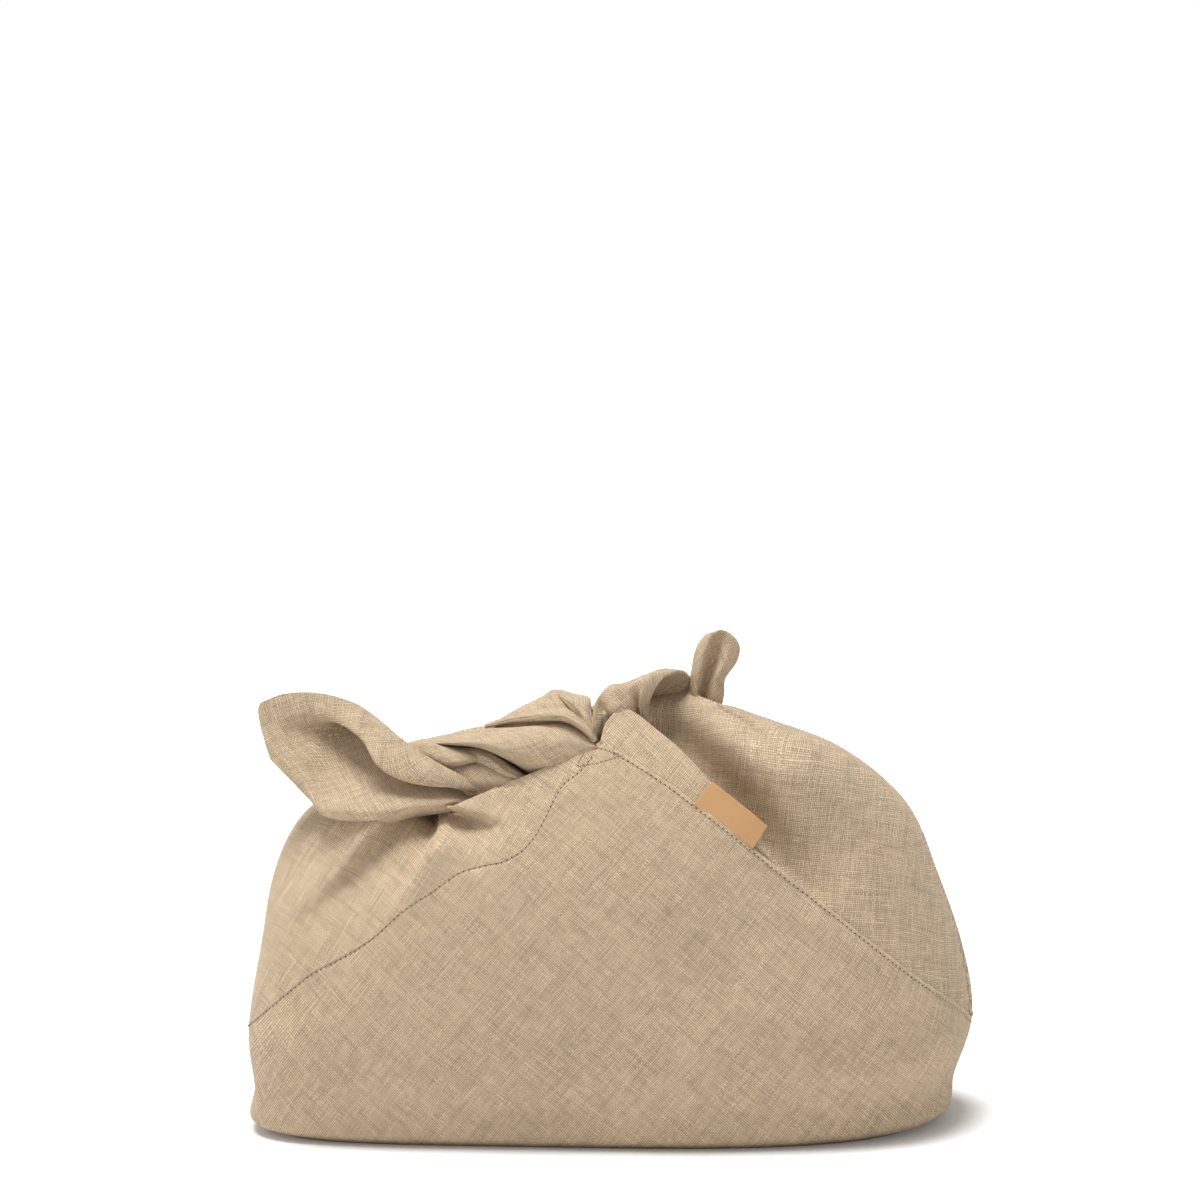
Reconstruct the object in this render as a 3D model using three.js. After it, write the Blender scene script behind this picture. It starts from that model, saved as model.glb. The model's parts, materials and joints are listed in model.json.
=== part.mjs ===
// Linen bread bag folded from three squares and knotted shut. The centre square makes the base, the
// front and the back; the side squares rise from its edges into a half knot with two free ears.
// Every square is lined. Millimetres, +Z up, the front faces -Y.
import * as THREE from "three";

// Cloth and thread
const CLOTH = 1.0;
const LINING = 0.8;
const GAP = 0.8;
const LAP = 7;
const LAP_DIP = 1.2;
const THREAD_RADIUS = 0.4;
const STITCH_INSET = 5;

// Centre square: heights of its edges at even steps from a point, at the front or back, down to a corner
// at the side. The front right and back left edges are pulled taut, the other two hang slack
const POINT_HEIGHT = 203;
const TAUT_EDGE = [POINT_HEIGHT, 193, 179.5, 163, 145, 127, 108, 92, 79, 70, 62, 56, 52];
const SLACK_EDGE = [POINT_HEIGHT, 181, 147, 139, 121, 97, 78, 62, 54, 52, 52, 52, 52];

// Free mouth edges: the left square has a low lip in front, then both are drawn in under the knot.
// Each turn is the share of the way round over which the edge rises from the lip to the knot
const LIP_SLOPE = 0.42;
const LEFT_TURN = [0.2, 0.44];
const RIGHT_TURN = [-0.06, 0.02];

// Outline of the filled bag as [reach from the middle, height], from the base up to the mouth
const RIGHT = [
  [164, 0], [179, 7], [183, 22], [190, 50], [185, 86],
  [175, 124], [155, 166], [114, 196], [66, 213], [36, 208],
];
const LEFT = [
  [172, 0], [187, 7], [187, 24], [190, 52], [185, 88],
  [177, 124], [162, 156], [140, 170], [115, 174], [94, 168],
];
const FACE = [
  [98, 0], [107, 6], [109, 22], [115, 50], [112, 86],
  [102, 126], [85, 168], [62, 203], [38, 214], [14, 200],
];
const BASE_SQUARENESS = 3.3;

// Main folds of the front, as [across, height]; the back has the same folds turned half round
const FOLDS = [
  { path: [[25, 220], [44, 199], [60, 184], [78, 167], [97, 151], [132, 127]], width: 9, depth: -8 },
  { path: [[-86, 168], [-98, 140], [-108, 122]], width: 8, depth: 4 },
  { path: [[-92, 165], [-116, 138], [-142, 108]], width: 11, depth: -8 },
];

// Knot: [x, y, z, half height, half depth] along each gathered tie
const LEFT_TIE = [
  [-105, -18, 188, 7.5, 12], [-90, -24, 189.5, 13.5, 27], [-68, -26, 191, 15, 29],
  [-44, -34, 196, 10.5, 20], [-15, -40, 204, 6, 13],
];
const CROSSING_TIE = [
  [-72, 8, 200, 6, 9], [-54, 4, 208, 10, 15], [-36, 1, 212, 12, 18], [-20, -5, 213, 10, 16],
  [-11, -12, 211, 7, 11],
];
const RIGHT_TIE = [
  [-3, -17, 214, 6.5, 11], [8, -16, 221, 11.3, 15], [22, -14, 224, 12, 16], [34, -12, 225, 11, 14],
  [41, -11, 224, 9.5, 11],
];

// Ears. Left: [x, low z, high z, low y, high y, cup]. Right: [z, left x, right x, y, fold]
const LEFT_EAR = [
  [-60, 174, 181, -62, -62, 1], [-75, 170, 187, -68, -63, 3], [-90, 167, 196, -74, -64, 6],
  [-108, 162, 207, -77, -60, 13], [-125, 162, 218, -75, -55, 19], [-141, 164, 224, -69, -50, 20],
  [-158, 176, 225, -57, -44, 12], [-174, 190, 222, -46, -40, 5], [-181, 204, 217, -41, -38, 1],
];
const RIGHT_EAR = [
  [215, 47, 56, -4, 2], [222, 46, 58, -3, 4], [230, 45, 61, -2, 5], [238, 44, 65, -1, 6],
  [246, 45, 68, -1, 5], [251, 48, 67, 0, 3], [254.5, 53, 62, 0, 1],
];
const EAR_CLOTH = 2.0;

// Paper label sewn into the front seam
const LABEL = { length: 37, height: 13, thickness: 0.5, along: 64 };

const { clamp, lerp, smoothstep, degToRad } = THREE.MathUtils;

function curve(points) {
  const stations = points.map(([a, b, c = 0]) => new THREE.Vector3(a, b, c));
  return new THREE.CatmullRomCurve3(stations, false, "catmullrom", 0.5);
}

const rightSide = curve(RIGHT);
const leftSide = curve(LEFT);
const face = curve(FACE);
const tautEdge = curve(TAUT_EDGE.map((z) => [z, 0]));
const slackEdge = curve(SLACK_EDGE.map((z) => [z, 0]));

// Point of the plain filled outline; levels below zero run across the flat base to its middle
function outline(angle, level) {
  const height = clamp(level, 0, 1);
  const c = Math.cos(angle);
  const s = Math.sin(angle);
  const side = (c > 0 ? rightSide : leftSide).getPoint(height);
  const front = face.getPoint(height);
  const n = lerp(BASE_SQUARENESS, 2, smoothstep(height, 0.2, 0.9));
  const across = Math.abs(c) ** n;
  const deep = Math.abs(s) ** n;
  const k = (across + deep) ** (-1 / n);
  const z = (side.y * across + front.y * deep) / (across + deep);
  const spread = 1 + Math.min(level, 0);
  return new THREE.Vector3(side.x * c * k * spread, front.x * s * k * spread, z);
}

function normal(point, u, v, step) {
  const along = point(u + step, v).sub(point(u - step, v));
  const up = point(u, v + step).sub(point(u, v - step));
  const n = along.cross(up);
  return n.length() < 1e-9 ? new THREE.Vector3(0, 0, -1) : n.normalize();
}

// Distance from a spot to a fold line and how far along the line it is
function nearest(path, x, z) {
  let best = { distance: Infinity, along: 0 };
  for (let i = 0; i + 1 < path.length; i++) {
    const [ax, az] = path[i];
    const [dx, dz] = [path[i + 1][0] - ax, path[i + 1][1] - az];
    const t = clamp(((x - ax) * dx + (z - az) * dz) / (dx * dx + dz * dz), 0, 1);
    const distance = Math.hypot(x - ax - t * dx, z - az - t * dz);
    if (distance < best.distance) best = { distance, along: (i + t) / (path.length - 1) };
  }
  return best;
}

function relief(p) {
  const x = p.y < 0 ? p.x : -p.x;
  let sum = 0;
  for (const fold of FOLDS) {
    const { distance, along } = nearest(fold.path, x, p.z);
    sum += fold.depth * (1 - along * along) * Math.exp(-((distance / fold.width) ** 2));
  }
  return sum * smoothstep(Math.abs(p.y), 6, 30);
}

function skin(angle, level) {
  const p = outline(angle, level);
  if (level < 0.2) return p;
  return p.addScaledVector(normal(outline, angle, level, 0.004), relief(p));
}

// Level at which a rising test first turns positive on one meridian
function findLevel(angle, test) {
  let [low, high] = [0.15, 0.9];
  for (let i = 0; i < 24; i++) {
    const middle = (low + high) / 2;
    if (test(outline(angle, middle)) > 0) high = middle;
    else low = middle;
  }
  return (low + high) / 2;
}

function seamLevel(angle) {
  const fromPoint = Math.abs(Math.asin(Math.cos(angle))) / (Math.PI / 2);
  const height = (Math.sin(2 * angle) > 0 ? slackEdge : tautEdge).getPoint(fromPoint).x;
  return findLevel(angle, (p) => p.z - height);
}

function lipLevel(angle) {
  return findLevel(angle, (p) => p.z - POINT_HEIGHT - 1 + LIP_SLOPE * Math.abs(p.x));
}

function levelsPerMillimetre(angle, level) {
  return 0.02 / outline(angle, level + 0.01).distanceTo(outline(angle, level - 0.01));
}

function mouthLevel(angle, fromLip, [start, end]) {
  if (fromLip > end) return 1;
  return lerp(lipLevel(angle), 1, smoothstep(fromLip, start, end));
}

function piece(name, points, faces, colour) {
  const geometry = new THREE.BufferGeometry();
  const places = points.flatMap((p) => p.toArray());
  geometry.setAttribute("position", new THREE.Float32BufferAttribute(places, 3));
  const apart = (a, b) => points[a].distanceTo(points[b]) > 1e-4;
  const sound = faces.filter(([a, b, c]) => apart(a, b) && apart(b, c) && apart(c, a));
  geometry.setIndex(sound.flat());
  geometry.computeVertexNormals();
  const material = new THREE.MeshStandardMaterial({ color: colour, roughness: 0.95 });
  const mesh = new THREE.Mesh(geometry, material);
  mesh.name = name;
  return mesh;
}

function quad(a, b, c, d) {
  return [[a, b, c], [a, c, d]];
}

// Closed sheet of even thickness; spot(u, v) gives the surface, its two coordinates there and any dip.
// Wrapped sheets join their first and last columns
function sheet(name, spot, { inset = 0, thickness, columns, rows, wrapped = false, colour }) {
  const points = [];
  for (const depth of [inset, inset + thickness]) {
    for (let i = 0; i <= columns; i++) {
      for (let j = 0; j <= rows; j++) {
        const { surface, a, b, dip = 0 } = spot((wrapped ? i % columns : i) / columns, j / rows);
        points.push(surface(a, b).addScaledVector(normal(surface, a, b, 0.003), -depth - dip));
      }
    }
  }
  const layer = (columns + 1) * (rows + 1);
  const at = (i, j, side) => side * layer + i * (rows + 1) + j;
  const faces = [];
  for (let i = 0; i < columns; i++) {
    for (let j = 0; j < rows; j++) {
      faces.push(...quad(at(i, j, 0), at(i + 1, j, 0), at(i + 1, j + 1, 0), at(i, j + 1, 0)));
      faces.push(...quad(at(i, j, 1), at(i, j + 1, 1), at(i + 1, j + 1, 1), at(i + 1, j, 1)));
    }
    faces.push(...quad(at(i, rows, 0), at(i + 1, rows, 0), at(i + 1, rows, 1), at(i, rows, 1)));
    if (!wrapped) faces.push(...quad(at(i + 1, 0, 0), at(i, 0, 0), at(i, 0, 1), at(i + 1, 0, 1)));
  }
  for (let j = 0; j < rows && !wrapped; j++) {
    faces.push(...quad(at(0, j + 1, 0), at(0, j + 1, 1), at(0, j, 1), at(0, j, 0)));
    faces.push(...quad(at(columns, j, 0), at(columns, j, 1), at(columns, j + 1, 1), at(columns, j + 1, 0)));
  }
  return piece(name, points, faces, colour);
}

// Solid round a path; ring(t, turn) gives half its depth and height there, dish hollows the far end
function rope(name, path, { steps, sides, ring, dish = 0, colour }) {
  const points = [];
  for (let i = 0; i <= steps; i++) {
    const centre = path.getPoint(i / steps);
    const ahead = path.getTangent(i / steps);
    const across = new THREE.Vector3(0, 0, 1).cross(ahead).normalize();
    const up = ahead.clone().cross(across);
    for (let k = 0; k < sides; k++) {
      const turn = (2 * Math.PI * k) / sides;
      const [depth, height] = ring(i / steps, turn);
      points.push(centre.clone()
        .addScaledVector(across, depth * Math.cos(turn))
        .addScaledVector(up, height * Math.sin(turn)));
    }
  }
  const start = points.push(path.getPoint(0)) - 1;
  const end = points.push(path.getPoint(1).addScaledVector(path.getTangent(1), -dish)) - 1;
  const faces = [];
  for (let k = 0; k < sides; k++) {
    const next = (k + 1) % sides;
    for (let i = 0; i < steps; i++) {
      faces.push(...quad(i * sides + k, i * sides + next, (i + 1) * sides + next, (i + 1) * sides + k));
    }
    faces.push([start, next, k], [end, steps * sides + k, steps * sides + next]);
  }
  return piece(name, points, faces, colour);
}

const LINEN = 0xb7a286;
const LINING_LINEN = 0xad9778;
const THREAD = 0xb8a184;

function centreSquare(name, inset, thickness, rows, colour) {
  const baseShare = 0.25;
  const spot = (u, v) => {
    const a = 2 * Math.PI * u;
    const b = v <= baseShare ? v / baseShare - 1 : (seamLevel(a) * (v - baseShare)) / (1 - baseShare);
    return { surface: skin, a, b };
  };
  return sheet(name, spot, { inset, thickness, columns: 48, rows, wrapped: true, colour });
}

function sideSquare(name, startDegrees, turn, inset, thickness, rows, colour) {
  const margin = 0.9;
  const spot = (u, v) => {
    const a = degToRad(startDegrees + clamp(180 * u, margin, 180 - margin));
    const seam = seamLevel(a);
    const low = seam - LAP * levelsPerMillimetre(a, seam);
    const b = lerp(low, mouthLevel(a, 1 - u, turn), v);
    const dip = LAP_DIP * (1 - smoothstep((b - low) / (seam - low), 0.8, 2.4));
    return { surface: skin, a, b, dip };
  };
  return sheet(name, spot, { inset, thickness, columns: 24, rows, colour });
}

// Row of stitching as one thread just outside the centre square, a set distance below its edge
function seamThread(name, fromDegrees, toDegrees) {
  const stations = [];
  for (let i = 0; i <= 16; i++) {
    const angle = degToRad(lerp(fromDegrees, toDegrees, i / 16));
    const seam = seamLevel(angle);
    const level = seam - STITCH_INSET * levelsPerMillimetre(angle, seam);
    const out = normal(skin, angle, level, 0.004);
    stations.push(skin(angle, level).addScaledVector(out, GAP + THREAD_RADIUS));
  }
  const path = new THREE.CatmullRomCurve3(stations);
  const ring = () => [THREAD_RADIUS, THREAD_RADIUS];
  return rope(name, path, { steps: 40, sides: 4, ring, colour: THREAD });
}

// Short four-sided reinforcing stitch just below a point of the centre square
function tack(name, degrees) {
  const corners = [[-5, -9], [6, -14], [-4, -18], [-9, -17]];
  const stations = corners.map(([across, below]) => {
    const angle = degToRad(degrees + across * 0.62);
    const level = 7 / 9 + below * levelsPerMillimetre(angle, 7 / 9);
    const out = normal(skin, angle, level, 0.004);
    return skin(angle, level).addScaledVector(out, GAP + THREAD_RADIUS);
  });
  const path = new THREE.CatmullRomCurve3(stations);
  const ring = () => [THREAD_RADIUS, THREAD_RADIUS];
  return rope(name, path, { steps: 12, sides: 4, ring, colour: THREAD });
}

// Twisted tie: three soft lobes that wind round the path
function tie(name, stations, dish) {
  const path = curve(stations);
  const size = curve(stations.map(([, , , height, depth]) => [height, depth]));
  const ring = (t, turn) => {
    const lobe = 1 + 0.08 * Math.cos(3 * turn + 4 * t);
    const { x: height, y: depth } = size.getPoint(t);
    return [depth * lobe, height * lobe];
  };
  return rope(name, path, { steps: 14, sides: 15, ring, dish, colour: LINEN });
}

function leftEar() {
  const shape = curve(LEFT_EAR.map(([x, low, high]) => [x, low, high]));
  const depth = curve(LEFT_EAR.map(([, , , low, high, cup]) => [low, high, cup]));
  const surface = (u, v) => {
    const { x, y: low, z: high } = shape.getPoint(clamp(v, 0, 1));
    const { x: lowY, y: highY, z: cup } = depth.getPoint(clamp(v, 0, 1));
    return new THREE.Vector3(x, lerp(lowY, highY, u) + cup * Math.sin(Math.PI * u), lerp(low, high, u));
  };
  const spot = (a, b) => ({ surface, a, b });
  return sheet("left_ear", spot, { thickness: EAR_CLOTH, columns: 10, rows: 16, colour: LINEN });
}

function rightEar() {
  const edges = curve(RIGHT_EAR.map(([z, left, right]) => [z, left, right]));
  const depth = curve(RIGHT_EAR.map(([, , , y, fold]) => [y, fold]));
  const surface = (u, v) => {
    const { x: z, y: left, z: right } = edges.getPoint(clamp(v, 0, 1));
    const { x: y, y: fold } = depth.getPoint(clamp(v, 0, 1));
    return new THREE.Vector3(lerp(left, right, u), y - fold * Math.sin(2 * Math.PI * u) ** 2, z);
  };
  const spot = (a, b) => ({ surface, a, b });
  return sheet("right_ear", spot, { thickness: EAR_CLOTH, columns: 12, rows: 10, colour: LINEN });
}

// Flat label that lies on the right square with its long edge along the front seam
function label() {
  const rim = (across) => {
    let [low, high] = [degToRad(270), degToRad(359)];
    for (let i = 0; i < 24; i++) {
      const middle = (low + high) / 2;
      if (outline(middle, seamLevel(middle)).x < across) low = middle;
      else high = middle;
    }
    return low;
  };
  const middle = rim(LABEL.along);
  const level = seamLevel(middle);
  const near = rim(LABEL.along - LABEL.length / 3);
  const far = rim(LABEL.along + LABEL.length / 3);
  const along = outline(far, seamLevel(far)).sub(outline(near, seamLevel(near))).normalize();
  const out = normal(outline, middle, level, 0.004);
  const away = out.clone().cross(along).normalize();
  const geometry = new THREE.BoxGeometry(LABEL.length, LABEL.height, LABEL.thickness);
  const material = new THREE.MeshStandardMaterial({ color: 0xcb9f74, roughness: 0.85 });
  const mesh = new THREE.Mesh(geometry, material);
  mesh.name = "label";
  mesh.applyMatrix4(new THREE.Matrix4().makeBasis(along, away, out.clone().normalize()));
  mesh.position.copy(outline(middle, level))
    .addScaledVector(away, LABEL.height / 2 + 1)
    .addScaledVector(out, 0.4);
  return mesh;
}

const sideInset = CLOTH + GAP;
const centreLiningInset = sideInset + CLOTH + LAP_DIP + GAP;
const sideLiningInset = centreLiningInset + LINING + GAP;

const bag = new THREE.Group();
bag.name = "bread_bag";
bag.add(
  centreSquare("centre_panel", 0, CLOTH, 12, LINEN),
  sideSquare("left_panel", 90, LEFT_TURN, sideInset, CLOTH, 10, LINEN),
  sideSquare("right_panel", -90, RIGHT_TURN, sideInset, CLOTH, 10, LINEN),
  centreSquare("centre_lining", centreLiningInset, LINING, 12, LINING_LINEN),
  sideSquare("left_lining", 90, LEFT_TURN, sideLiningInset, LINING, 8, LINING_LINEN),
  sideSquare("right_lining", -90, RIGHT_TURN, sideLiningInset, LINING, 8, LINING_LINEN),
  tie("left_tie", LEFT_TIE, 0),
  tie("crossing_tie", CROSSING_TIE, 0),
  tie("right_tie", RIGHT_TIE, 8),
  leftEar(),
  rightEar(),
  seamThread("front_seam_thread", 277, 357),
  seamThread("front_run_thread", 263, 183),
  seamThread("back_seam_thread", 97, 177),
  seamThread("back_run_thread", 83, 3),
  tack("front_tack", 270),
  tack("back_tack", 90),
  label(),
);
export default bag;
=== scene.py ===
"""Knotted linen bread bag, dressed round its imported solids.

Shapes are worked out in millimetres, in the same frame as the solids, and become metres in the meshes.
"""

import json
import math

import bpy
import numpy as np
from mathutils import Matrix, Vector


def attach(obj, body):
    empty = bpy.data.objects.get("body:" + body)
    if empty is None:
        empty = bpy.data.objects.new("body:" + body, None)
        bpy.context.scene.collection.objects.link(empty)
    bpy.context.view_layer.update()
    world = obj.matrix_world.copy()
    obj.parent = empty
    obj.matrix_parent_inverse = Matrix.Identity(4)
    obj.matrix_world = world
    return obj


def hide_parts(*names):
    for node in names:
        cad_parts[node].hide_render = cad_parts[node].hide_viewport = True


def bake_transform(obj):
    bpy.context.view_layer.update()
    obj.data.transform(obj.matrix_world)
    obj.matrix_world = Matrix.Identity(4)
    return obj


bl_info = {
    "name": "Linen Bread Bag",
    "version": (1, 0, 0),
    "blender": (4, 5, 0),
    "location": "View3D > Sidebar > Bread Bag",
    "description": "Builds a knotted, lined linen bread bag and its studio",
    "category": "Add Mesh",
}

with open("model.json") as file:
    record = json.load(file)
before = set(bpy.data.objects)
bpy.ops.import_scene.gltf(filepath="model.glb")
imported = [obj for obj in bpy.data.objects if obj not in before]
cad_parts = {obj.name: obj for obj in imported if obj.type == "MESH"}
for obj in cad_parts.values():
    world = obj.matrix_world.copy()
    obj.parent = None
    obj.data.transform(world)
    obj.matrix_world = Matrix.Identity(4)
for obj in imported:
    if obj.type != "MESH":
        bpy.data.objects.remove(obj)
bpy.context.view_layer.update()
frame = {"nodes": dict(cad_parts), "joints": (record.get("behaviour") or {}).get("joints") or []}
MM = 0.001

# Outline of the filled bag as (reach from the middle, height), from the base up to the mouth.
RIGHT = [(164, 0), (179, 7), (182, 22), (189.5, 50), (182, 86), (171, 124), (152.5, 166.5), (115, 197.5),
         (67, 214), (36, 208)]
LEFT = [(171, 0), (184.5, 7), (181.5, 24), (184.5, 52), (181.5, 88), (174.5, 124), (161, 156), (140, 170),
        (115, 174), (94, 168)]
FACE = [(98, 0), (107, 6), (109, 22), (115, 50), (112, 86), (102, 126), (85, 168), (62, 203), (38, 214), (14, 200)]
# How square each side of the base is in plan; 2 is an ellipse.
LEFT_SQUARENESS, RIGHT_SQUARENESS = 5.5, 2.6

# Centre square: heights of its edges at even steps from a point, at the front or back, to a side corner.
POINT_HEIGHT = 203
TAUT_EDGE = [203, 194.5, 182.7, 166.5, 148.5, 130, 110.3, 93.5, 79.8, 70, 62, 56, 52]
SLACK_EDGE = [203, 190, 181, 156, 146, 143, 139.5, 130, 120.5, 106.5, 96.5, 88.5, 78, 68.5, 61.5, 57, 54, 53,
              52, 52, 52, 52, 52, 52, 52]
# Slope of the left square's lip, and the shares of the way round over which each mouth edge leaves its lip.
LIP_SLOPE = 0.42
LEFT_TURN, RIGHT_TURN = (0.155, 0.2), (-0.06, 0.02)

# Folds as (across, height) paths, or (across, deep) for "plan"; widths are to the right and left of the path's
# direction. "inward" folds go straight back by their depth and the others stand out from the cloth. "front" folds
# are on the front alone; the others have a twin on the back, turned half round. "cut" makes one side a sharp edge.
FOLDS = [
    {"path": [(4, 212.5), (10, 212.5), (16, 210), (24, 204), (33, 196), (42, 187.5), (52, 178.5), (65, 167.5),
              (79, 156), (97, 142), (122, 123)],
     "depth": 50, "widths": (3.5, 24), "fade": 2.5, "start": (0.04, 0.4), "inward": True, "cut": True},
    {"path": [(-85, 170), (-83.5, 164), (-82.5, 158.7), (-84, 154), (-86, 149.5), (-91, 141), (-98, 130),
              (-108, 116)],
     "depth": -11, "widths": (2.2, 12), "fade": 2.0, "front": True, "inward": True},
    {"path": [(-88.5, 168), (-87, 164), (-86.2, 158.7), (-87.6, 154), (-89.8, 149), (-95, 141), (-102, 131)],
     "depth": 9, "widths": (8, 2.2), "fade": 2.5, "front": True, "inward": True},
    {"path": [(-96, 170), (-102, 164), (-110, 154.5), (-120, 142.5), (-131, 130), (-143, 118), (-154, 106)],
     "depth": 15, "widths": (6, 15), "fade": 1.1, "front": True, "inward": True},
    {"path": [(-108, 172), (-114, 164), (-122, 154), (-132, 142), (-143, 130), (-154, 118)],
     "depth": -6, "widths": (13, 6), "fade": 1.5, "front": True, "inward": True},
    {"path": [(-83, 168), (-75.5, 166), (-67, 164), (-58, 162), (-47, 159.6)],
     "depth": 24, "widths": (9, 3.5), "fade": 1.2, "front": True, "inward": True},
    {"path": [(-72, 179), (-80, 178), (-92, 174), (-106, 170), (-124, 166)],
     "depth": 15, "widths": (22, 3.5), "fade": 3, "front": True, "inward": True},
    {"path": [(57.5, -29), (64, -26.5), (70.5, -27), (76, -30.5), (81.5, -35.4), (88, -41), (96, -47)],
     "depth": -9, "widths": (2, 7), "fade": 2.0, "start": (0, 0.2), "front": True, "plan": True},
    {"path": [(96, 122), (120, 106), (150, 84)], "depth": 2.2, "widths": (6, 6), "fade": 2.0, "front": True},
]

# Broad swellings: centre, reach, height and forward push.
SWELLS = [((34, -20, 213), 26, 8.5, 0), ((10, -40, 208), 16, 3, 0), ((94, -52, 193), 32, 0, 20)]


def smooth(x, low, high):
    t = np.clip((np.asarray(x, float) - low) / (high - low), 0, 1)
    return t * t * (3 - 2 * t)


def mix(a, b, t):
    return a + (b - a) * t


def spline(points, t):
    """Points on a smooth curve through evenly spaced stations, t from 0 to 1."""
    p = np.asarray(points, float)
    p = np.vstack([2 * p[0] - p[1], p, 2 * p[-1] - p[-2]])
    n = len(p) - 3
    s = np.clip(np.asarray(t, float), 0, 1) * n
    i = np.minimum(s.astype(int), n - 1)
    f = (s - i)[..., None]
    a, b, c, d = p[i], p[i + 1], p[i + 2], p[i + 3]
    return b + 0.5 * f * (c - a + f * (2 * a - 5 * b + 4 * c - d + f * (3 * (b - c) + d - a)))


def outline(angle, level):
    """The plain filled outline; levels below zero cross the flat base to its middle."""
    angle, level = np.broadcast_arrays(np.asarray(angle, float), np.asarray(level, float))
    height = np.clip(level, 0, 1)
    c, s = np.cos(angle), np.sin(angle)
    side = np.where((c > 0)[..., None], spline(RIGHT, height), spline(LEFT, height))
    face = spline(FACE, height)
    n = mix(np.where(c > 0, RIGHT_SQUARENESS, LEFT_SQUARENESS), 2, smooth(height, 0.2, 0.9))
    across, deep = np.abs(c) ** n, np.abs(s) ** n
    k = (across + deep) ** (-1 / n)
    z = (side[..., 1] * across + face[..., 1] * deep) / (across + deep)
    spread = 1 + np.minimum(level, 0)
    return np.stack([side[..., 0] * c * k * spread, face[..., 0] * s * k * spread, z], -1)


def unit(v):
    length = np.linalg.norm(v, axis=-1, keepdims=True)
    return np.where(length > 1e-9, v / np.maximum(length, 1e-9), np.array([0.0, 0.0, -1.0]))


def surface_normal(surface, a, b, step=0.004):
    along = surface(a + step, b) - surface(a - step, b)
    up = surface(a, b + step) - surface(a, b - step)
    return unit(np.cross(along, up))


def fold_depth(x, z, fold):
    """Depth of one fold at spots of the front view."""
    path = spline(fold["path"], np.linspace(0, 1, 25))
    best = np.full(x.shape, np.inf)
    signed, along = np.zeros(x.shape), np.zeros(x.shape)
    for i in range(len(path) - 1):
        (ax, az), (dx, dz) = path[i], path[i + 1] - path[i]
        t = np.clip(((x - ax) * dx + (z - az) * dz) / (dx * dx + dz * dz), 0, 1)
        ox, oz = x - ax - t * dx, z - az - t * dz
        distance = np.hypot(ox, oz)
        near = distance < best
        best = np.where(near, distance, best)
        signed = np.where(near, dx * oz - dz * ox, signed)
        along = np.where(near, (i + t) / (len(path) - 1), along)
    width = np.where(signed < 0, fold["widths"][0], fold["widths"][1])
    strength = np.clip(1 - along ** fold["fade"], 0, 1)
    if "start" in fold:
        strength = strength * smooth(along, *fold["start"])
    shape = np.exp(-((best / width) ** 2))
    if "cut" in fold:
        shape = np.where(signed < 0, 1 - smooth(best, 0, width), shape)
    return fold["depth"] * strength * shape


# Unevenness of the cloth: number of waves, and their lengths and height in millimetres.
WAVES, SHORTEST_WAVE, LONGEST_WAVE, WAVE_HEIGHT = 14, 55, 150, 0.8


def ripples(p):
    """Slow unevenness of cloth over bread, from a few fixed waves."""
    rng = np.random.default_rng(7)
    total = np.zeros(p.shape[:-1])
    for _ in range(WAVES):
        direction = unit(rng.normal(size=3))
        wave = rng.uniform(SHORTEST_WAVE, LONGEST_WAVE)
        total += wave / LONGEST_WAVE * np.sin(p @ direction * 2 * np.pi / wave + rng.uniform(0, 6.28))
    return WAVE_HEIGHT * total


def skin(angle, level):
    """Outline with its folds and unevenness."""
    p = outline(angle, level)
    side = np.where(p[..., 1] < 0, 1, -1)
    depth, inward = np.zeros(p.shape[:-1]), np.zeros(p.shape[:-1])
    for fold in FOLDS:
        second = p[..., 1] * side if "plan" in fold else p[..., 2]
        part = fold_depth(p[..., 0] * side, second, fold) * (side > 0 if "front" in fold else 1)
        if "inward" in fold:
            inward = inward + part
        else:
            depth = depth + part
    away = smooth(np.abs(p[..., 1]), 6, 30)
    depth, inward = depth * away + ripples(p) * smooth(level, 0.05, 0.3), inward * away
    for centre, reach, height, push in SWELLS:
        near = np.exp(-(((p - np.array(centre)) ** 2).sum(axis=-1)) / reach**2)
        depth, inward = depth + height * near, inward - push * near
    depth = np.where(np.asarray(level) > 0.02, depth, 0)
    moved = p + surface_normal(outline, angle, level) * depth[..., None]
    moved[..., 1] += inward * side
    return moved


def find_level(angle, test, low=0.15, high=0.9):
    """Level where a rising test turns positive on each meridian."""
    low, high = np.full(np.shape(angle), low), np.full(np.shape(angle), high)
    for _ in range(26):
        middle = (low + high) / 2
        above = test(outline(angle, middle)) > 0
        low, high = np.where(above, low, middle), np.where(above, middle, high)
    return (low + high) / 2


def seam_level(angle):
    """Level of the centre square's edge."""
    from_point = np.abs(np.arcsin(np.clip(np.cos(angle), -1, 1))) / (np.pi / 2)
    taut, slack = (spline(np.array(edge)[:, None], from_point)[..., 0] for edge in (TAUT_EDGE, SLACK_EDGE))
    height = np.where(np.sin(2 * angle) > 0, slack, taut)
    return find_level(angle, lambda p: p[..., 2] - height)


def lip_level(angle):
    return find_level(angle, lambda p: p[..., 2] - POINT_HEIGHT - 1 + LIP_SLOPE * np.abs(p[..., 0]))


def levels_per_mm(angle, level):
    step = outline(angle, level + 0.01) - outline(angle, level - 0.01)
    return 0.02 / np.linalg.norm(step, axis=-1)


def mouth_level(angle, from_lip, turn):
    return mix(lip_level(angle), 1, smooth(from_lip, *turn))


# Laying cloth flat: share of each gap closed in a round, rounds for an ear, and for half a sheet the stations of
# its coarse net, its rounds and the passes that smooth the change.
EASE_STEP, EAR_ROUNDS = 0.12, 1500
NET_STATIONS, NET_ROUNDS, NET_PASSES = 26, 900, 14
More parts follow.
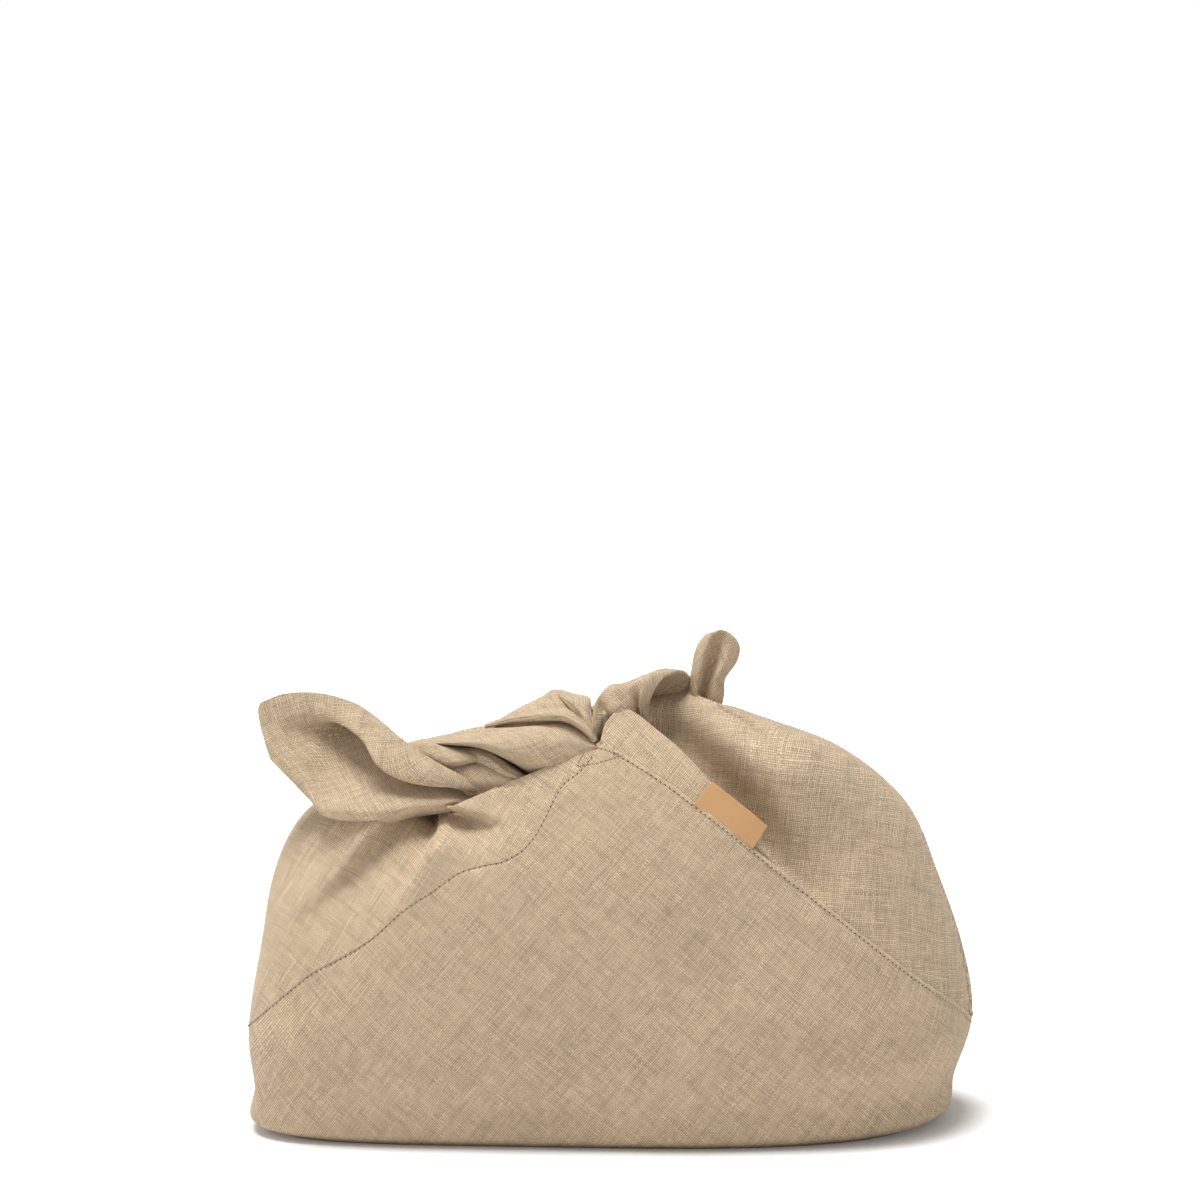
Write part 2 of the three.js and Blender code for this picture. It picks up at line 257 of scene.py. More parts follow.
# Depth that counts as flat at a sheet's spot, and how far from the spot it wears off, in millimetres.
SPOT_DEPTH, SPOT_REACH = 40, 30
# Spots round which each sheet is laid flat for its threads, with the threads' turn in degrees.
FLATTENED = {"centre": ((0, -110, 110), -40), "left": ((-120, -80, 130), -32), "right": ((85, -70, 165), -6),
             "strip": ((30, -60, 195), -38)}


def turned(flat, degrees):
    """Flat spots in millimetres as thread coordinates in metres, with the threads turned."""
    c, s = math.cos(math.radians(degrees)), math.sin(math.radians(degrees))
    return np.stack([flat[..., 0] * c + flat[..., 1] * s, flat[..., 1] * c - flat[..., 0] * s], -1) * MM


def eased(points, flat, rounds, free=1):
    """Flat spots moved, where they are free, until they are as far from their neighbours as the points are."""
    here, on, every = slice(None, -1), slice(1, None), slice(None)
    ties = [((here, every), (on, every)), ((every, here), (every, on)), ((here, here), (on, on)),
            ((here, on), (on, here))]
    lengths = [np.linalg.norm(points[b] - points[a], axis=-1) for a, b in ties]
    for _ in range(rounds):
        move = np.zeros(flat.shape)
        for (a, b), length in zip(ties, lengths):
            gap = flat[b] - flat[a]
            now = np.maximum(np.linalg.norm(gap, axis=-1), 1e-6)
            pull = gap * ((now - length) / now)[..., None]
            move[a] += pull
            move[b] -= pull
        flat = flat + EASE_STEP * move * free
    return flat


def pressed(points, sheet, side):
    """Front or back of a sheet pressed flat round its own spot, in millimetres."""
    x, y, z = FLATTENED[sheet][0]
    across, deep, up = points[..., 0] * side - x, points[..., 1] * side - y, points[..., 2] - z
    near = np.hypot(across, up)
    beyond = np.maximum(deep - SPOT_DEPTH * np.exp(-near / SPOT_REACH), 0)
    return np.stack([across, up], -1) * (np.hypot(near, beyond) / np.maximum(near, 1))[..., None]


def thread_uv(points, smoothed, facing, sheet, side):
    """Thread coordinates in metres of half a sheet, eased on a coarse net where it turns away from the view."""
    flat = pressed(points, sheet, side)
    columns, rows = (np.arange(count) for count in flat.shape[:2])
    picks = [np.unique(np.linspace(0, line[-1], NET_STATIONS).astype(int)) for line in (columns, rows)]
    net = np.ix_(*picks)
    start = pressed(smoothed[net], sheet, side)
    change = eased(smoothed[net], start, NET_ROUNDS, 1 - smooth(facing[net], 0.3, 0.6)[..., None]) - start
    for _ in range(NET_PASSES):
        wide = np.pad(change, ((1, 1), (1, 1), (0, 0)), mode="edge")
        change = (wide[:-2, 1:-1] + wide[2:, 1:-1] + wide[1:-1, :-2] + wide[1:-1, 2:] + 2 * change) / 6
    for k in (0, 1):
        wide = np.stack([np.interp(rows, picks[1], line) for line in change[..., k]])
        flat[..., k] += np.stack([np.interp(columns, picks[0], line) for line in wide.T], 1)
    return turned(flat, FLATTENED[sheet][1])


def make_object(name, points, faces, material, uvs=None):
    """Smooth mesh object from points in millimetres; uvs has one pair for each face corner."""
    mesh = bpy.data.meshes.new(name)
    mesh.from_pydata((np.asarray(points, float) * MM).tolist(), [], [list(map(int, f)) for f in faces])
    if uvs is not None:
        layer = mesh.uv_layers.new(name="Threads")
        layer.data.foreach_set("uv", np.asarray(uvs, np.float32).ravel())
    mesh.polygons.foreach_set("use_smooth", np.ones(len(mesh.polygons), bool))
    mesh.materials.append(material)
    mesh.validate()
    obj = bpy.data.objects.new(name, mesh)
    bpy.context.scene.collection.objects.link(obj)
    return obj


def grid_faces(columns, rows, wrapped=False):
    """Quads of a grid of points stored column by column."""
    last = columns if wrapped else columns - 1
    i, j = np.meshgrid(np.arange(last), np.arange(rows - 1), indexing="ij")
    i, j = i.ravel(), j.ravel()
    k = (i + 1) % columns
    return np.stack([i * rows + j, k * rows + j, k * rows + j + 1, i * rows + j + 1], -1)


def grid_object(name, points, uv, material, wrapped=False):
    """Mesh over a grid of points (columns, rows, 3); uv has one more column where the grid is wrapped."""
    columns, rows = points.shape[:2]
    faces = grid_faces(columns, rows, wrapped)
    corners = grid_faces(uv.shape[0], rows)
    return make_object(name, points.reshape(-1, 3), faces, material, uv.reshape(-1, 2)[corners.ravel()])


def thicken(obj, thickness, offset=-1.0):
    """Gives a sheet its thickness, inwards unless the offset says otherwise."""
    solid = obj.modifiers.new("Cloth thickness", "SOLIDIFY")
    solid.thickness = thickness
    solid.offset = offset
    return obj


def spread_angles(start, end, count, front_share):
    """Angles from start to end in degrees, closer together over the front half."""
    dense = np.linspace(start, end, 4001)
    weight = np.where(np.sin(np.radians(dense)) < 0, front_share, 1 - front_share)
    travel = np.concatenate([[0], np.cumsum((weight[1:] + weight[:-1]) / 2)])
    return np.radians(np.interp(np.linspace(0, travel[-1], count), travel, dense))


def flush_side(angle):
    """1 where a side square runs on from the centre square without a step: the front left and the back right."""
    return smooth(np.sin(2 * angle), 0.0, 0.1)


def sheet_uv(points, angle, level, sheet):
    """Thread coordinates of each face corner, from the half of the bag that the face is on."""
    is_back = np.sin((angle[1:, 0] + angle[:-1, 0]) / 2) > 0
    smoothed = outline(angle, level)
    facing = np.where(level < 0, 1, np.abs(surface_normal(outline, angle, level)[..., 1]))
    uvs = []
    for back in (is_back[0], not is_back[0]):
        which = np.flatnonzero(is_back == back)
        half = slice(which[0], which[-1] + 2)
        uv = thread_uv(points[half], smoothed[half], facing[half], sheet, -1 if back else 1)
        uvs.append(uv.reshape(-1, 2)[grid_faces(*uv.shape[:2])].reshape(-1, 2))
    return np.concatenate(uvs)


def centre_square(name, inset, columns, rows, material):
    """Base, front and back in one sheet, with its two halves' threads meeting at the side corners."""
    base_rows = rows // 6
    v = np.concatenate([np.linspace(-1, 0, base_rows, endpoint=False), np.linspace(0, 1, rows - base_rows)])
    closed = spread_angles(0, 360, columns + 1, 0.64)[:, None] + np.zeros((1, rows))
    level = np.where(v[None] < 0, v[None], v[None] * seam_level(closed[:, :1]))
    points = skin(closed, level) - surface_normal(skin, closed, level) * inset
    return make_object(name, points[:-1].reshape(-1, 3), grid_faces(columns, rows, True), material,
                       sheet_uv(points, closed, level, "centre"))


# Side squares in millimetres: lap under the centre square's loose edges, the step down to it, and how far
# the right square is tucked in under its strip.
LAP, STEP_DOWN, TUCK = 7, 2.2, 7


def side_square(name, start, turn, inset, columns, rows, material):
    """Side square from its seam, or its lap under the centre square, up to the mouth."""
    is_left = start > 0
    begin = start - 2 if is_left else start + 0.3
    angle = spread_angles(begin, start + 179.7, columns, 0.6)[:, None] + np.zeros((1, rows))
    v = np.linspace(0, 1, rows)[None]
    first = angle[:, :1]
    seam = seam_level(first)
    loose = 1 - flush_side(first)
    from_lip = 1 - (np.degrees(first) - start) / 180
    level = mix(seam - LAP * loose * levels_per_mm(first, seam), mouth_level(first, from_lip, turn), v)
    depth = inset + STEP_DOWN * mix(loose, 0.2, smooth(v, 0.1, 0.5)) * loose
    if not is_left:
        # Under the strip, which covers 17 to 26 mm above the seam at the point and 11 mm less farther round.
        degrees = np.degrees(first)
        above = (level - seam) / levels_per_mm(first, seam) + 11 * smooth(degrees, -84, -70)
        depth = depth + TUCK * (1 - smooth(above, 17, 26)) * (1 - smooth(degrees, -68, -57))
    points = skin(angle, level) - surface_normal(outline if inset else skin, angle, level) * depth[..., None]
    uv = sheet_uv(points, angle, level, "left" if is_left else "right")
    return make_object(name, points.reshape(-1, 3), grid_faces(columns, rows), material, uv)


# Knot rolls: two outlines in the front view, and the middle and half depth of the roll along them.
ROLLS = {
    "left_tie": [
        {"low": [(-90, 163.6), (-84, 164.5), (-75.7, 165), (-63, 168), (-52.8, 171.4), (-45, 175), (-39, 180)],
         "high": [(-90, 188), (-84.4, 190), (-75.6, 192), (-63, 192.7), (-52.8, 190), (-45, 187), (-39, 184)],
         "y": [-42, -47, -50, -53, -57, -59, -61], "half": [8, 11, 12, 12, 11, 9, 5]},
        {"low": [(-105, 188.6), (-93.4, 185.5), (-82.3, 185.4), (-73, 188), (-67.5, 190.5), (-62, 192.5)],
         "high": [(-105, 198), (-93.3, 201.5), (-82.3, 199.5), (-73, 198), (-67.5, 196.6), (-62, 194)],
         "y": [-32, -40, -47, -51, -54, -57], "half": [10, 13, 13, 11, 8, 3]},
        {"low": [(-71.4, 191.7), (-62, 189), (-55.7, 186.5), (-50.3, 184), (-44.5, 182), (-38, 179.6)],
         "high": [(-71.4, 198), (-62, 197.6), (-55.7, 195.2), (-50.3, 192), (-44.5, 188.4), (-38, 184.3)],
         "y": [-50, -53, -55, -57, -59, -62], "half": [5, 9, 10, 10, 9, 5]},
        {"low": [(-102, 196.5), (-93.4, 197.5), (-81, 198.6), (-64, 198), (-50, 192), (-36, 184),
                 (-23.7, 181.6), (-14.7, 185.8), (-9.2, 192.6), (-3.3, 198.8)],
         "high": [(-102, 196.4), (-93.4, 200), (-81, 203), (-64, 206.4), (-46, 208.3), (-32, 210),
                  (-21.7, 211.3), (-14.7, 209.4), (-9.2, 206), (-3.3, 202)],
         "y": [-26, -30, -36, -42, -46, -48, -50, -53, -57, -61], "half": [6, 12, 19, 24, 25, 23, 19, 14, 9, 4]},
    ],
    "crossing_tie": [
        {"low": [(-69, 195), (-57, 193), (-46, 193), (-35, 194), (-27.6, 197), (-22.4, 199.6), (-16.7, 201),
                 (-11, 201.4), (-4.4, 201.3)],
         "high": [(-69, 200.5), (-57, 209.5), (-46, 216.2), (-35, 221.8), (-27.5, 226), (-22.4, 223),
                  (-16.7, 217.6), (-11, 211.8), (-4.4, 205)],
         "y": [-10, -18, -23, -26, -29, -34, -41, -49, -60], "half": [5, 13, 17, 19, 19, 16, 12, 8, 3]},
        {"low": [(-14, 200), (-8, 200), (-3, 200.5), (3, 202), (10, 204)],
         "high": [(-14, 217), (-8, 215), (-4, 216), (2, 221), (10, 226)],
         "y": [-40, -43, -43, -38, -30], "half": [8, 8, 8, 9, 10]},
        {"low": [(-64, 205.5), (-50, 209), (-36, 210.8), (-27, 211.8), (-20, 212), (-14, 210), (-9, 207),
                 (-4.5, 203.5)],
         "high": [(-64, 207.5), (-50, 213), (-36, 217), (-27, 219), (-20, 218.5), (-14, 216), (-9, 212.5),
                  (-4.5, 207.5)],
         "y": [-26, -34, -42, -46, -49, -53, -57, -61], "half": [2, 6, 9, 11, 11, 9, 7, 3]},
        {"low": [(-28, 225.4), (-23.6, 222.4), (-17.7, 216.6), (-12, 210.8), (-4.8, 203)],
         "high": [(-23.5, 225.8), (-16.3, 224.3), (-8.6, 223.8), (-6.5, 218), (-2.8, 203.5)],
         "y": [-27, -33, -41, -49, -61], "half": [6, 10, 11, 8, 3]},
    ],
}
WRAP = {
    "low": [(-4.4, 201.8), (-1.2, 201.3), (3, 201.5), (9.3, 202), (16.3, 203.2), (23, 204.4), (29, 205)],
    "high": [(-5.4, 211), (-4.8, 221.5), (0, 228), (9.3, 230.4), (19.4, 234), (27.5, 236.4), (36, 235.4)],
    "y": [-60, -47, -35, -27, -22, -18, -15], "half": [3, 9, 14, 17, 18, 18, 17], "skew": [0, 0, 0, 0, 2, 6, 10],
}
# Grooves across the wrap: place, slant, width, lower turn, upper turn and depth.
WRAP_DENTS = [(0.3, -0.05, 0.05, -0.5, 1.2, 5), (0.46, -0.04, 0.06, -0.2, 1.4, -2),
              (0.66, -0.06, 0.055, -0.6, 0.6, 6.5)]


def roll_points(roll, steps, sides):
    """Points round a roll of gathered cloth, ring by ring, and their thread coordinates in metres."""
    t = np.linspace(0, 1, steps)
    low, high = spline(roll["low"], t), spline(roll["high"], t)
    y, half = (spline(np.array(roll[key])[:, None], t)[:, 0] for key in ("y", "half"))
    skew = spline(np.array(roll.get("skew", [0, 0]))[:, None], t)[:, 0]
    turn = np.linspace(-np.pi, np.pi, sides, endpoint=False)
    middle, reach = (low + high) / 2, (high - low) / 2
    x = middle[:, None, 0] + reach[:, None, 0] * np.sin(turn) - skew[:, None] * np.cos(turn)
    z = middle[:, None, 1] + reach[:, None, 1] * np.sin(turn)
    points = np.stack([x, y[:, None] - half[:, None] * np.cos(turn), z], -1)
    travel = np.concatenate([[0], np.cumsum(np.linalg.norm(np.diff(middle, axis=0), axis=-1))])
    girth = np.pi * (np.linalg.norm(reach, axis=-1).max() + half.max()) / (2 * np.pi)
    around = np.linspace(-np.pi, np.pi, sides + 1)[None] * girth
    return points, turned(np.stack(np.broadcast_arrays(travel[:, None], around), -1), 35)


def dented(points, dents):
    """Points of a roll with grooves pressed across it."""
    steps, sides = points.shape[:2]
    s = np.linspace(0, 1, steps)[:, None]
    turn = np.linspace(-np.pi, np.pi, sides, endpoint=False)[None]
    total = np.zeros((steps, sides))
    for place, slant, width, low, high, depth in dents:
        reach = smooth(turn, low - 0.4, low + 0.4) * (1 - smooth(turn, high - 0.4, high + 0.4))
        total += depth * reach * np.exp(-(((s - place - slant * turn) / width) ** 2))
    return points - unit(points - points.mean(axis=1, keepdims=True)) * total[..., None]


def pleats(points, height, count, twist):
    """Fine gathers that wind along a roll."""
    steps, sides = points.shape[:2]
    s = np.linspace(0, 1, steps)[:, None]
    turn = np.linspace(0, 2 * np.pi, sides, endpoint=False)[None]
    wave = np.sin(count * turn + twist * s) + 0.5 * np.sin((count + 4) * turn - 1.7 * twist * s + 1.3)
    out = unit(points - points.mean(axis=1, keepdims=True))
    return points + out * (height * wave * np.sin(np.pi * np.clip(s, 0.02, 0.98)) ** 0.5)[..., None]


def closed_roll(points, uv):
    """Points, faces and corner threads of a roll closed at both ends."""
    steps, sides = points.shape[:2]
    count = steps * sides
    faces, corners = [], []
    for i in range(steps - 1):
        for k in range(sides):
            n = (k + 1) % sides
            faces.append((i * sides + k, i * sides + n, (i + 1) * sides + n, (i + 1) * sides + k))
            corners += [uv[i, k], uv[i, k + 1], uv[i + 1, k + 1], uv[i + 1, k]]
    for k in range(sides):
        faces.append((count, (k + 1) % sides, k))
        corners += [uv[0, k], uv[0, k], uv[0, k + 1]]
    for k in range(sides):
        faces.append((count + 1, count - sides + k, count - sides + (k + 1) % sides))
        corners += [uv[-1, k], uv[-1, k], uv[-1, k + 1]]
    ends = np.stack([points[0].mean(axis=0), points[-1].mean(axis=0)])
    return np.vstack([points.reshape(-1, 3), ends]), faces, corners


def knot_roll(name, rolls, material):
    """One tie made of rolls that press on one another."""
    points, faces, corners = [], [], []
    for index, roll in enumerate(rolls):
        p, uv = roll_points(roll, 64, 56)
        p, f, c = closed_roll(pleats(p, 0.35, 5 + index, 5.0), uv)
        start = sum(len(q) for q in points)
        points.append(p)
        faces += [tuple(start + i for i in face) for face in f]
        corners += c
    return make_object(name, np.vstack(points), faces, material, corners)


# Ears as control nets in millimetres. Left: from the neck to the tip, each row from under the lower fold
# through the hollow to the top edge. Right: from the base to the tip, left edge to right edge.
LEFT_EAR = [
    [(-66, -60, 167), (-64, -60, 169), (-62, -60, 171), (-60, -57, 173), (-58, -53, 175), (-59, -58, 174),
     (-58, -60, 175.5), (-56, -56, 176.5)],
    [(-80, -67, 166.5), (-79, -71, 169), (-77, -72, 173), (-76, -63, 178), (-73, -50, 186),
     (-75, -68, 179.5), (-74, -69, 182.5), (-71, -63, 184.8)],
    [(-93, -60, 163.5), (-93, -70, 166.5), (-92, -75, 171), (-91, -67, 177), (-88, -46, 190),
     (-88, -70.5, 180.5), (-87, -71, 189), (-86, -61.5, 192.5)],
    [(-109, -60, 161), (-109, -73, 162), (-110, -79, 169), (-109, -64, 179), (-104, -40, 197),
     (-103.3, -70, 183.6), (-104, -68, 195.5), (-103, -58, 203)],
    [(-126, -58, 163), (-126, -72, 162), (-128, -78, 169), (-127, -57, 180), (-118, -27, 206),
     (-116, -66, 191), (-117, -61, 204), (-118, -49, 213.5)],
    [(-142.5, -63, 164), (-143.5, -67, 164.5), (-145, -72, 170), (-144, -52, 182), (-132, -22, 211),
     (-126, -56, 203.5), (-129, -49, 214.5), (-131, -43, 220.5)],
    [(-152.5, -59.5, 172.5), (-154, -59, 175.5), (-155.5, -57.5, 181), (-156, -49, 190), (-153, -34, 204),
     (-148, -38, 213), (-149, -35, 219.5), (-150, -32.5, 224)],
    [(-164, -53.5, 182.5), (-165.5, -52.5, 186), (-167, -50.5, 191), (-168.5, -46, 197),
     (-169.5, -40.5, 205), (-169, -37, 213), (-169, -34.5, 219.5), (-168, -32.5, 223.5)],
    [(-173.7, -48, 191), (-175.2, -46.5, 195), (-176.8, -45, 199), (-178.2, -43, 203.5),
     (-179.8, -40.5, 208), (-181, -38.5, 212.5), (-181.5, -37, 216), (-180.5, -35.5, 219)],
]
RIGHT_EAR = [
    [(44, -4, 212), (47, -9, 212), (50, -3, 212), (54, -8, 212), (58, -5, 212)],
    [(41, -3, 224), (45, -10, 222), (48, -2, 221), (54, -9, 219), (60, -5, 222)],
    [(42.5, -2, 234), (47, -9, 233), (51.5, 0, 232), (56, -8, 231), (60.5, -4, 230)],
    [(44, -1, 243), (49, -7, 242), (54, 1, 240), (60, -6, 239), (66, -2, 238)],
    [(46.5, 0, 249), (51, -5, 248.5), (56, 1, 247), (62, -4, 246), (68, 0, 245)],
    [(50, 0, 253), (53, -3, 253), (57.5, 0.5, 252), (62.5, -2, 251.5), (66.5, 0, 250)],
    [(54, 0, 254.6), (56, -1, 255), (58.5, 0, 255), (61, -1, 254.6), (63, 0, 253.8)],
]


def net_points(net, columns, rows):
    """Smooth surface through a control net, columns along it and rows across it."""
    net = np.asarray(net, float)
    along = spline(net.reshape(len(net), -1), np.linspace(0, 1, columns)).reshape(columns, *net.shape[1:])
    across = along.transpose(1, 0, 2).reshape(net.shape[1], -1)
    return spline(across, np.linspace(0, 1, rows)).reshape(rows, columns, -1).transpose(1, 0, 2)


def laid_flat(points):
    """Spots of a net of cloth pressed flat."""
    steps = [np.linalg.norm(np.diff(points, axis=axis), axis=-1) for axis in (0, 1)]
    along = np.concatenate([[0], np.cumsum(steps[0].mean(axis=1))])
    across = np.pad(np.cumsum(steps[1], axis=1), ((0, 0), (1, 0)))
    flat = np.stack(np.broadcast_arrays(along[:, None], across - across.mean(axis=1, keepdims=True)), -1)
    return eased(points, flat, EAR_ROUNDS)


def cloth_net(name, net, columns, rows, material):
    """Sheet through a control net, with the threads that it would have if it were pressed flat."""
    flat = turned(laid_flat(net_points(net, 28, 20)), 45)
    points, uv = net_points(net, columns, rows)[:, ::-1], net_points(flat, columns, rows)[:, ::-1]
    return grid_object(name, points, uv, material)


# Flat strip of the right square beside the front seam, in millimetres: its folded edge as (x, y, z), its lap under
# the seam, how deep it starts, how far it bulges, the radius of its fold and how deep its far end dives.
STRIP_EDGE = [(-1, -63, 203), (1, -56, 210.5), (6, -48, 216.5), (11, -44, 217.5), (16, -44, 215.5),
              (21, -47, 212.5), (28.6, -55, 207.5), (39.8, -63, 199.5), (54.6, -72, 185.5), (68, -79, 171),
              (82, -85, 155), (95, -89, 141)]
STRIP_LAP, STRIP_SINK, STRIP_BULGE, STRIP_RADIUS, STRIP_DIVE = 4, 1.2, 1.2, 2.2, 6
# Part of the strip that is turned under, as a share of its width.
TURNED_UNDER = 0.35


def strip_points(columns, rows):
    """Strip from under the seam to its fold, turned under along the fold."""
    t = np.linspace(0, 1, columns)
    edge = spline(STRIP_EDGE, t)
    angle = np.radians(270 + 31 * t)
    level = seam_level(angle)
    normal = surface_normal(outline, angle, level)
    seam = skin(angle, level - STRIP_LAP * levels_per_mm(angle, level)) - normal * STRIP_SINK
    v = np.linspace(0, 1 + TURNED_UNDER, rows)
    flat = np.minimum(v, 1)
    points = mix(seam[:, None], edge[:, None], flat[None, :, None])
    rise = STRIP_BULGE * np.sin(np.pi * np.minimum(1.15 * t, 1))
    points += normal[:, None] * (rise[:, None] * np.sin(np.pi * flat) ** 0.8)[..., None]
    away = unit(edge - seam)
    turn = np.clip(v - 1, 0, None) / TURNED_UNDER * np.pi
    radius = (STRIP_RADIUS * np.sin(np.pi * np.clip(t, 0, 0.98)) ** 0.5)[:, None]
    points += away[:, None] * (radius * np.sin(turn))[..., None]
    points -= normal[:, None] * (radius * (1 - np.cos(turn)))[..., None]
    points -= normal[:, None] * (STRIP_DIVE * smooth(t, 0.8, 1))[:, None, None]
    return points


class Field:
    """A node tree and one of its sockets, which takes part in expressions."""

    def __init__(self, tree, socket=None):
        self.tree = tree
        self.socket = socket

    def node(self, kind, settings=None, **sockets):
        """Adds a node: settings first, then values or links of its sockets by name, or by index as i0, i1."""
        made = self.tree.nodes.new(kind)
        for key, value in (settings or {}).items():
            setattr(made, key, value)
        for key, value in sockets.items():
            by_index = key[0] == "i" and key[1:].isdigit()
            target = made.inputs[int(key[1:]) if by_index else key.replace("_", " ")]
            if isinstance(value, Field):
                self.tree.links.new(value.socket, target)
            else:
                target.default_value = value
        return made

    def out(self, made, name=0):
        return Field(self.tree, made.outputs[name])

    def maths(self, operation, a, b=0.0):
        return self.out(self.node("ShaderNodeMath", {"operation": operation}, i0=a, i1=b))

    def __add__(self, other):
        return self.maths("ADD", self, other)

    def __sub__(self, other):
        return self.maths("SUBTRACT", self, other)

    def __mul__(self, other):
        return self.maths("MULTIPLY", self, other)

    def __truediv__(self, other):
        return self.maths("DIVIDE", self, other)

    __radd__ = __add__
    __rmul__ = __mul__

    def __rsub__(self, other):
        return self.maths("SUBTRACT", other, self)

    def __rtruediv__(self, other):
        return self.maths("DIVIDE", other, self)

    def noise(self, scale, detail=2.0, roughness=0.5):
        made = self.node("ShaderNodeTexNoise", {"noise_dimensions": "3D"},
                         Vector=self, Scale=scale, Detail=detail, Roughness=roughness)
        return self.out(made, "Fac")

    def stretched(self, x, y, z=1.0):
        return self.out(self.node("ShaderNodeVectorMath", {"operation": "MULTIPLY"}, i0=self, i1=(x, y, z)))

    def mixed(self, factor, first, second):
        """Colour between two colours by a factor."""
        return self.out(self.node("ShaderNodeMix", {"data_type": "RGBA"}, i0=factor, i6=first, i7=second), 2)

    def bump(self, height, distance, strength):
        return self.out(self.node("ShaderNodeBump", None, Strength=strength, Distance=distance, Height=height))

    def surface(self, shader):
        """Shows a shader node as the material."""
        self.node("ShaderNodeOutputMaterial", None, Surface=self.out(shader))


def new_material(name):
    """Empty material and the start of its expressions."""
    material = bpy.data.materials.new(name)
    material.use_nodes = True
    material.node_tree.nodes.clear()
    return material, Field(material.node_tree)


def scaled(colour, *shares):
    """Colour with its channels scaled, all by one share or each by its own."""
    return [min(c * s, 1) for c, s in zip(colour, shares * 3 if len(shares) == 1 else shares)] + [1]


def linear(red, green, blue):
    """Display colour from 0 to 255 as linear RGBA."""
    channel = [c / 255 for c in (red, green, blue)]
    return [c / 12.92 if c <= 0.04045 else ((c + 0.055) / 1.055) ** 2.4 for c in channel] + [1.0]


def thread_shade(index, along, shift):
    """Unevenness along each thread, different from thread to thread."""
    white = index.node("ShaderNodeTexWhiteNoise", {"noise_dimensions": "1D"}, W=index + shift)
    random = index.out(white, "Value")
    place = along * 40 + random * 900
    line = {"noise_dimensions": "1D"}
    uneven = index.node("ShaderNodeTexNoise", line, W=place, Scale=1.0, Detail=4.0, Roughness=0.7)
    slub = index.node("ShaderNodeTexNoise", line, W=place * 2 + 400.0, Scale=1.0, Detail=1.0)
    thick = index.maths("MAXIMUM", index.out(slub, "Fac") - 0.6, 0.0)
    return index.out(uneven, "Fac") + (random - 0.5) * 0.16 + thick * 1.3 - 0.02


def linen(name, colour, weave):
    """Plain-weave linen with slubs, painted shade in the gaps between threads and soft patches of painted light
    and shade; threads follow the UV map, in metres.
    """
    material, root = new_material(name)
    coordinates = root.node("ShaderNodeTexCoord")
    uv, place = root.out(coordinates, "UV"), root.out(coordinates, "Object")
    split = root.node("ShaderNodeSeparateXYZ", None, Vector=uv)
    u, v = root.out(split, 0), root.out(split, 1)
    wander = 0.9 * weave
    u = (u + (uv.stretched(5.0, 1.0).noise(70.0) - 0.5) * wander) / weave
    v = (v + (uv.stretched(1.0, 5.0).noise(70.0) - 0.5) * wander) / weave
    column, row = uv.maths("FLOOR", u), uv.maths("FLOOR", v)
    over = uv.maths("FLOORED_MODULO", column + row, 2.0)
    warp, weft = thread_shade(column, v * weave, 0.0), thread_shade(row, u * weave, 5000.0)
    # Each top thread is painted lighter across its middle and darker at its edges, as painted shade between the
    # threads; the same profile also raises the bump.
    round_warp, round_weft = (uv.maths("ABSOLUTE", uv.maths("SINE", way * math.pi)) for way in (u, v))
    threads = warp + (weft - warp) * over - 0.5
    relief_and_gap_shade = round_warp + (round_weft - round_warp) * over
    # The slow noise adds soft patches of painted light and shade, standing for the shading of broad undulations in
    # the cloth.
    shade = threads * 1.5 + (relief_and_gap_shade - 0.637) * 1.1 + (place.noise(16.0) - 0.5) * 0.15 + 0.52
    cloth = uv.mixed(shade, scaled(colour, 0.36), scaled(colour, 1.66))
    cool, warm = scaled(colour, 0.95, 1.01, 1.02), scaled(colour, 1.05, 0.985, 0.95)
    tint = uv.mixed((place.noise(45.0, 3.0, 0.55) - 0.5) * 2.2 + 0.5, cool, warm)
    root.surface(root.node("ShaderNodeBsdfPrincipled", None, Base_Color=uv.mixed(0.22, cloth, tint),
                           Normal=uv.bump(threads + relief_and_gap_shade, 0.0002, 0.5), Roughness=0.92, Specular_IOR_Level=0.15,
                           Sheen_Weight=0.08, Sheen_Roughness=0.5))
    return material


def thread_material(name, colour):
    """Twisted sewing thread."""
    material, root = new_material(name)
    place = root.out(root.node("ShaderNodeTexCoord"), "Object")
    twist = place.stretched(1.0, 1.0, 2.6).noise(2400.0, 2.0)
    shade = place.mixed(twist, scaled(colour, 0.75), scaled(colour, 1.2))
    root.surface(root.node("ShaderNodeBsdfPrincipled", None, Base_Color=shade, Roughness=0.8,
                           Normal=place.bump(twist, 0.0001, 0.5)))
    return material


def kraft_paper(name, colour):
    """Washable paper with fibres and a faint crumple."""
    material, root = new_material(name)
    place = root.out(root.node("ShaderNodeTexCoord"), "Object")
    fibre = place.stretched(1.0, 1.0, 3.0).noise(900.0, 4.0, 0.65)
    cloud = place.noise(110.0, 3.0)
    shade = place.mixed(fibre * 0.6 + cloud * 0.5 - 0.05, scaled(colour, 0.86), scaled(colour, 1.12))
    root.surface(root.node("ShaderNodeBsdfPrincipled", None, Base_Color=shade, Roughness=fibre * 0.2 + 0.5,
                           Normal=place.bump(fibre + cloud, 0.0002, 0.35)))
    return material


def shows_background(root):
    """1 for rays that should meet a white background: from the camera, gloss or glass."""
    path = root.node("ShaderNodeLightPath")
    camera, gloss, glass = (root.out(path, f"Is {kind} Ray") for kind in ("Camera", "Glossy", "Transmission"))
    return root.maths("MAXIMUM", camera, root.maths("MAXIMUM", gloss, glass))


def floor_material(name):
    """Pale floor that stays white to the camera and still takes the shadow."""
    material, root = new_material(name)
    diffuse = root.node("ShaderNodeBsdfDiffuse", None, Color=(0.9, 0.9, 0.9, 1))
    glow = root.node("ShaderNodeEmission", None, Strength=shows_background(root) * 0.08)
    root.surface(root.node("ShaderNodeAddShader", None, i0=root.out(diffuse), i1=root.out(glow)))
    return material


